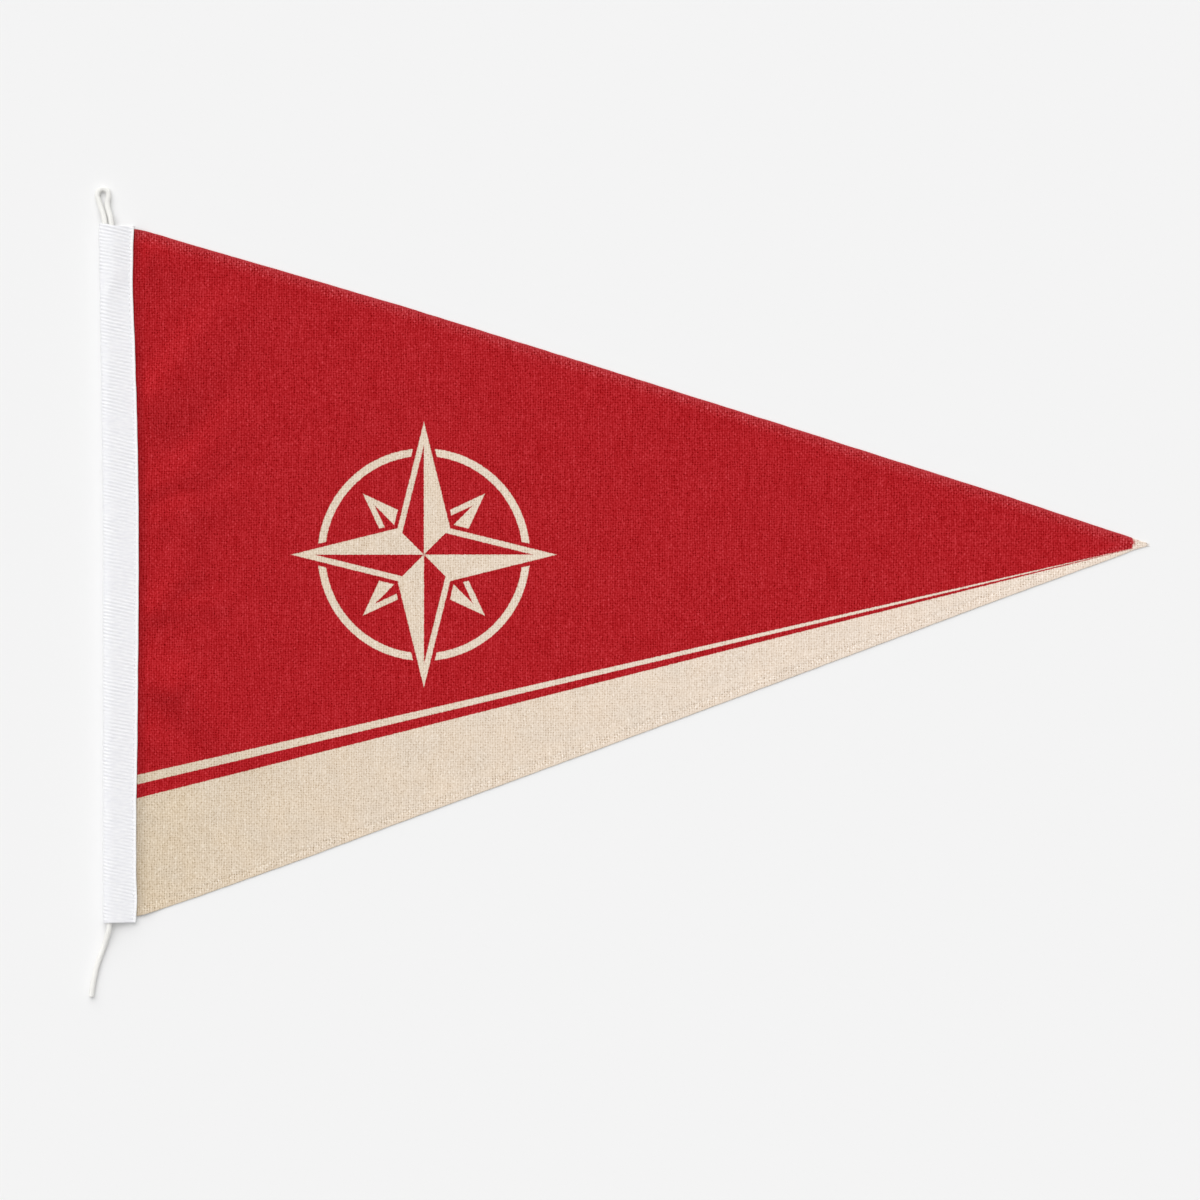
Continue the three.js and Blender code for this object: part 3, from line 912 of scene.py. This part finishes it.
# %% Section of the folded tape
# The tape is drawn tight from the top of the cord straight to the row of stitches. Near its upper end
# both legs of the loop lie side by side in it, so the crest is wider there.
TAPE_THICK = 0.4
OVER_CORD = 4.15
CREST = 3.4
CREST_OVER_LOOP = 5.7
LOOP_LEGS_FROM = 266
CREST_GROWS = 12
AT_STITCH = 1.9
AT_SELVEDGE = 2.0
HEADING_STITCH_INSET = 1.6
SELVEDGE_RISE = 2
SELVEDGE_SHARE = 0.55
TAPE_WANDER = 0.08

# The upper leaf ends a little lower than the fold does.
SHORTER = 0.6
SHORTER_FROM = 290
SHORTENS_OVER = 10
SHORTER_PAST = 3

# Points along the section of the tape.
LOWER_STEPS = 8
FOLD_STEPS = 13
UPPER_FROM = LOWER_STEPS + FOLD_STEPS
CREST_STEPS = 3
PAST_CREST = 1
SLOPE_STEPS = 8
BEFORE_STITCH = 0.5
PAST_STITCH = [0, 0.3, 0.6, 1.0, 1.6]


def tape_top(crest, right, x):
    """Height of the upper leaf's face at x, from the crest over the cord to the stitched edge."""
    stitch = right - HEADING_STITCH_INSET
    down = OVER_CORD + (AT_STITCH - OVER_CORD) * np.clip((x - crest) / (stitch - crest), 0, 1)
    return down + (AT_SELVEDGE - AT_STITCH) * smooth((x - stitch) / SELVEDGE_RISE)


def tape_middle(left, crest, right):
    """The middle line of the tape in section: lower leaf, fold, upper leaf."""
    low = LIFT_OFF + TAPE_THICK / 2
    radius = (OVER_CORD - LIFT_OFF - TAPE_THICK) / 2
    centre = left + TAPE_THICK / 2 + radius
    lower = [(x, low) for x in np.linspace(right, centre, LOWER_STEPS + 1)[:-1]]
    turns = np.linspace(0, math.pi, FOLD_STEPS)
    fold = [(centre - radius * math.sin(a), low + radius - radius * math.cos(a)) for a in turns]
    stitch = right - HEADING_STITCH_INSET
    xs = np.concatenate([
        np.linspace(centre, crest + PAST_CREST, CREST_STEPS + 1)[1:],
        np.linspace(crest + PAST_CREST, stitch - BEFORE_STITCH, SLOPE_STEPS + 1)[1:],
        stitch + np.array(PAST_STITCH),
    ])
    upper = [(x, tape_top(crest, right, x) - TAPE_THICK / 2) for x in xs]
    return np.array(lower + fold + upper)


def tape_ring(y):
    """Outer and inner face of the tape at one height, as one closed ring."""
    left = through(y, row_y, row_left) + TAPE_WANDER * uneven(0, y, size=9, seed=11)
    right = through(y, row_y, row_right) + EDGE_WANDER * uneven(0, y, size=7, seed=12)
    skew = through(y, row_y, row_skew)
    crest = left + CREST + (CREST_OVER_LOOP - CREST) * smooth((y - LOOP_LEGS_FROM) / CREST_GROWS)
    line = tape_middle(left, crest, right)
    line[UPPER_FROM:, 1] += TAPE_WANDER * uneven(line[UPPER_FROM:, 0], y, size=8, seed=13)
    ahead = np.gradient(line, axis=0)
    normal = np.stack([ahead[:, 1], -ahead[:, 0]], axis=1) / np.hypot(*ahead.T)[:, None]
    half_thick = np.full((len(line), 1), TAPE_THICK / 2)
    half_thick[[0, -1]] *= SELVEDGE_SHARE
    outer, inner = line - normal * half_thick, line + normal * half_thick
    section = np.concatenate([outer, inner[::-1]])
    is_upper = np.arange(len(line)) > UPPER_FROM
    is_upper = np.concatenate([is_upper, is_upper[::-1]])
    upper = is_upper * np.clip((section[:, 0] - left - SHORTER_PAST) / SHORTER_PAST, 0, 1)
    shorter = upper * SHORTER * smooth((y - SHORTER_FROM) / SHORTENS_OVER)
    tilted = y - skew * (section[:, 0] - left) / (right - left) - shorter
    return np.stack([section[:, 0], tilted, section[:, 1]], axis=1)


# %% The ribs, as a tree that presses waves into a surface
USUAL_NOISE = (0.35, 0.65)
FAINT_RIBS = 0.15
STRONG_RIBS = 1.5

ribs, size = new_tree("ribs", Pitch=0.00156, Depth=0.00007, Slant=0.23, Wobble=0.0012, Patch=0.009)
spot = node(ribs, "GeometryNodeInputPosition")
axes = node(ribs, "ShaderNodeSeparateXYZ", {0: spot})
bend = speckle(ribs, spot, size=1 / 60, detail=1.0)
bend = calc(ribs, "MULTIPLY", bend, size["Wobble"])
height = calc(ribs, "MULTIPLY_ADD", axes.outputs["X"], size["Slant"], axes.outputs["Y"])
height = calc(ribs, "ADD", height, bend)
phase = calc(ribs, "DIVIDE", height, size["Pitch"])
phase = calc(ribs, "MULTIPLY", phase, math.tau)
wave = calc(ribs, "SINE", phase)
patches = calc(ribs, "DIVIDE", 1.0, size["Patch"])
patches = node(ribs, "ShaderNodeTexNoise", {"Vector": spot, "Scale": patches, "Detail": 1.0})
patches = ramp(ribs, patches, *USUAL_NOISE, FAINT_RIBS, STRONG_RIBS)
ribbed = node(ribs, "GeometryNodeInputNamedAttribute", {"Name": "ribbed"}, data_type="FLOAT")
wave = calc(ribs, "MULTIPLY", wave, patches)
wave = calc(ribs, "MULTIPLY", wave, ribbed.outputs[0])
wave = calc(ribs, "MULTIPLY", wave, size["Depth"])
push = scaled(ribs, node(ribs, "GeometryNodeInputNormal"), wave)
painted_shade_or_pressed_ribs = node(ribs, "GeometryNodeSetPosition", {0: size["Geometry"], "Offset": push})

# %% White woven tape
# Filament polyester, heat set: a cooler white than the cord, faintly glossy along each rib. The smooth
# selvedge is left pure white, partly for its smooth weave and partly as a painted highlight along the
# edge.
tape_finish = {"Roughness": 0.6, "IOR": 1.55, "Specular_IOR_Level": 0.35, "Sheen_Weight": 0.1}
tape_white, tape_tree, tape_shader = new_material("white_ribbed_tape", **tape_finish)
place = node(tape_tree, "ShaderNodeTexCoord").outputs["Object"]
ends = node(tape_tree, "ShaderNodeMapping", {0: place, 3: (1 / 0.0025, 1 / 0.0007, 1 / 0.0025)})
fibre = speckle(tape_tree, ends, 1, 2.0)
tint = mixed(tape_tree, fibre, linear("#E8E8EE"), linear("#FFFFFF"))
ribbed = node(tape_tree, "ShaderNodeAttribute", attribute_name="ribbed").outputs["Fac"]
# The selvedge is painted pure white: partly its smooth weave, partly a painted highlight along the tape's
# edge.
tint = mixed(tape_tree, ribbed, linear("#FFFFFF"), tint)
bump = node(tape_tree, "ShaderNodeBump", {"Strength": 0.3, "Distance": 0.05 * MM, "Height": fibre})
wire(tape_tree, tape_shader, {"Base Color": tint, "Normal": bump})
end_tree(ribs, painted_shade_or_pressed_ribs, tape_white)

# %% The tape itself
TAPE_STEP = 0.3
SELVEDGE = 0.5
RIBS_BEGIN_OVER = 0.5

tape_rows = np.array([tape_ring(y) for y in np.arange(0, HOIST + TAPE_STEP / 2, TAPE_STEP)])
count, around = tape_rows.shape[:2]
faces = grid_faces(count, around, around=True)
for start in (0, (count - 1) * around):
    faces += [
        (start + i, start + i + 1, start + around - 2 - i, start + around - 1 - i)
        for i in range(around // 2 - 1)
    ]
mesh = mesh_of("heading", tape_rows.reshape(-1, 3), faces)
mesh.update()
half = around // 2
from_selvedge = tape_rows[:, half - 1, :1] - tape_rows[:, :half, 0]
rib_share = np.zeros((count, around))
rib_share[:, :half] = np.clip((from_selvedge - SELVEDGE) / RIBS_BEGIN_OVER, 0, 1)
store(mesh, "ribbed", rib_share)
heading = new_object("heading", grown(mesh, ribs), tape_white)
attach(heading, "root")
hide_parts("heading_tape")

# %% [markdown]
# ## Stitches
#
# One row of lockstitch holds the heading, and one runs along each leech, through the hem. On the front
# and on the back it shows as short raised dashes with the thread going down between them. A dash is a
# small bead of few faces, and a tree lays it along a guide line at an even pitch, with small turns and
# changes of length, because no sewing machine feeds quite evenly.

# %% The row of stitches, as a tree
TILT = 0.12
SHORTEST = 0.88
LONGEST = 1.08


def drawn(tree, low, high, seed):
    """A number between two limits, drawn for each stitch."""
    limits = {2: low, 3: high, "Seed": seed}
    return node(tree, "FunctionNodeRandomValue", limits, data_type="FLOAT").outputs[1]


stitching, size = new_tree("stitching", Pitch=0.0028, Length=0.0022, Width=0.0004, Height=0.00026, Seed=1)
line = even_line(stitching, size["Geometry"], size["Pitch"])
dash = node(stitching, "GeometryNodeMeshUVSphere", {"Segments": 8, "Rings": 5, "Radius": 0.5})
heading_for = node(
    stitching,
    "FunctionNodeAlignRotationToVector",
    {"Vector": node(stitching, "GeometryNodeInputTangent")},
    axis="X",
    pivot_axis="Z",
)
tilt = drawn(stitching, -TILT, TILT, size["Seed"])
tilt = node(stitching, "FunctionNodeAxisAngleToRotation", {0: (0, 0, 1), 1: tilt})
turned = node(stitching, "FunctionNodeRotateRotation", {0: heading_for, 1: tilt}, rotation_space="LOCAL")
stretch = drawn(stitching, SHORTEST, LONGEST, size["Seed"])
long_side = calc(stitching, "MULTIPLY", size["Length"], stretch)
dash_size = node(stitching, "ShaderNodeCombineXYZ", {0: long_side, 1: size["Width"], 2: size["Height"]})
dashes = node(
    stitching,
    "GeometryNodeInstanceOnPoints",
    {"Points": line, "Instance": dash, "Rotation": turned, "Scale": dash_size},
)

# %% Sewing thread
# Three-ply spun polyester: matt, with its twist showing as fine diagonal lines. The grooves of the
# twist are painted darker, a painted shade.


def sewing_thread(name, hex_colour):
    material, tree, shader = new_material(name, Roughness=0.65, IOR=1.55)
    place = node(tree, "ShaderNodeTexCoord").outputs["Object"]
    twist = node(
        tree,
        "ShaderNodeTexWave",
        {"Vector": place, "Scale": 1 / 0.0016, "Distortion": 2.0},
        bands_direction="DIAGONAL",
    )
    # Painted shade: the thread is darker down the grooves of its twist.
    depth = ramp(tree, twist.outputs["Fac"], 0.0, 1.0, 0.82, 1.0)
    colour = scaled(tree, linear(hex_colour)[:3], depth)
    raised = {"Strength": 0.4, "Distance": 0.05 * MM, "Height": twist.outputs["Fac"]}
    bump = node(tree, "ShaderNodeBump", raised)
    wire(tree, shader, {"Base Color": colour, "Normal": bump})
    return material


white_thread = sewing_thread("white_thread", "#FAFAFA")
end_tree(stitching, dashes, white_thread)

# %% The rows
GUIDE_STEP = 1.0
ABOVE_FOOT = 2
BELOW_HEAD = 3
HEM_SEWN_FROM = 17.5
HEM_SEWN_TO = 436
SUNK = 0.02

heading_y = np.arange(ABOVE_FOOT, HOIST - BELOW_HEAD, GUIDE_STEP)
stitch_x = through(heading_y, row_y, row_right) - HEADING_STITCH_INSET
front_row = polyline(np.stack([stitch_x, heading_y, np.full(len(stitch_x), AT_STITCH)], axis=1))
back_row = polyline(np.stack([stitch_x, heading_y, np.full(len(stitch_x), LIFT_OFF + SUNK)], axis=1))
sizes = {"Pitch": 0.0024, "Length": 0.0019, "Width": 0.0004, "Height": 0.0003}
heading_rows = [grown(front_row, stitching, **sizes), grown(back_row, stitching, Seed=2, **sizes)]
heading_stitches = joined("heading_stitches", heading_rows, white_thread)
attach(heading_stitches, "root")

hem_x = np.arange(HEM_SEWN_FROM, HEM_SEWN_TO, GUIDE_STEP)
squeeze = squeeze_for(leech(hem_x, leech_upper) - leech(hem_x, leech_lower))
inset = STITCH_INSET * squeeze
hem_rows = []
for edge, inwards in ((leech_lower, 1), (leech_upper, -1)):
    hem_y = leech(hem_x, edge) + inwards * inset
    low, high = cloth_faces(hem_x, hem_y, inset, squeeze)
    guides = [polyline(np.stack([hem_x, hem_y, z], axis=1)) for z in (low, high - SUNK)]
    for guide in guides:
        hem_rows.append(grown(guide, stitching, Seed=len(hem_rows) + 3, Width=0.0003, Height=0.00016))

# The hems are sewn before printing, so their thread takes the print like the open cloth.
hem_stitches = joined("hem_stitches", hem_rows, front)
each_point = np.ones(len(hem_stitches.data.vertices))
# The stitches lie clear of the painted highlight along the leeches.
store(hem_stitches.data, "from_leech", each_point * HEM_WIDTH * 2)
# The stitches lie clear of the painted shade beside the heading.
store(hem_stitches.data, "from_heading", each_point * PAINTED_SHADE_WIDTH)
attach(hem_stitches, "root")

# %% [markdown]
# ## The frayed tip
#
# The tip is too narrow to turn neatly, so a few yarn ends stick out of it. Each is a thin tube along a
# short bent line. The bends come from a fixed seed, so the tip is the same in every run.

# %% Yarn ends
yarn, size = new_tree("yarn", Radius=0.00009)
line = node(yarn, "GeometryNodeMeshToCurve", {0: size["Geometry"]})
bare_yarn = sewing_thread("bare_yarn", "#FFF4EA")
end_tree(yarn, tube(yarn, line, sides=5, radius=size["Radius"]), bare_yarn)

YARN_ENDS = 10
YARN_STEPS = 7
INSIDE_TIP = (0.4, 1.6)
BESIDE_TIP = (-0.6, 0.6)
ROOT_HEIGHT = (0.2, 0.5)
REACH = (1.0, 2.2)
LEAN = (-0.3, 0.3)
CURL = (-0.3, 0.3)
DROP = (0.0, 0.25)
YARN_RADIUS = (0.00006, 0.0001)

draw = random.Random(7)
ends = []
for _ in range(YARN_ENDS):
    root_x = FLY - draw.uniform(*INSIDE_TIP)
    root_y = TIP[1] + draw.uniform(*BESIDE_TIP)
    root = np.array([root_x, root_y, draw.uniform(*ROOT_HEIGHT)])
    reach = draw.uniform(*REACH)
    lean = draw.uniform(*LEAN)
    curl = draw.uniform(*CURL)
    drop = draw.uniform(*DROP)
    steps = np.linspace(0, 1, YARN_STEPS)
    path = root + np.stack([
        reach * steps,
        reach * (lean * steps + curl * steps**2),
        -drop * steps**2,
    ], axis=1)
    ends.append(grown(polyline(path), yarn, Radius=draw.uniform(*YARN_RADIUS)))
tip_yarns = joined("tip_yarns", ends, bare_yarn)
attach(tip_yarns, "root")
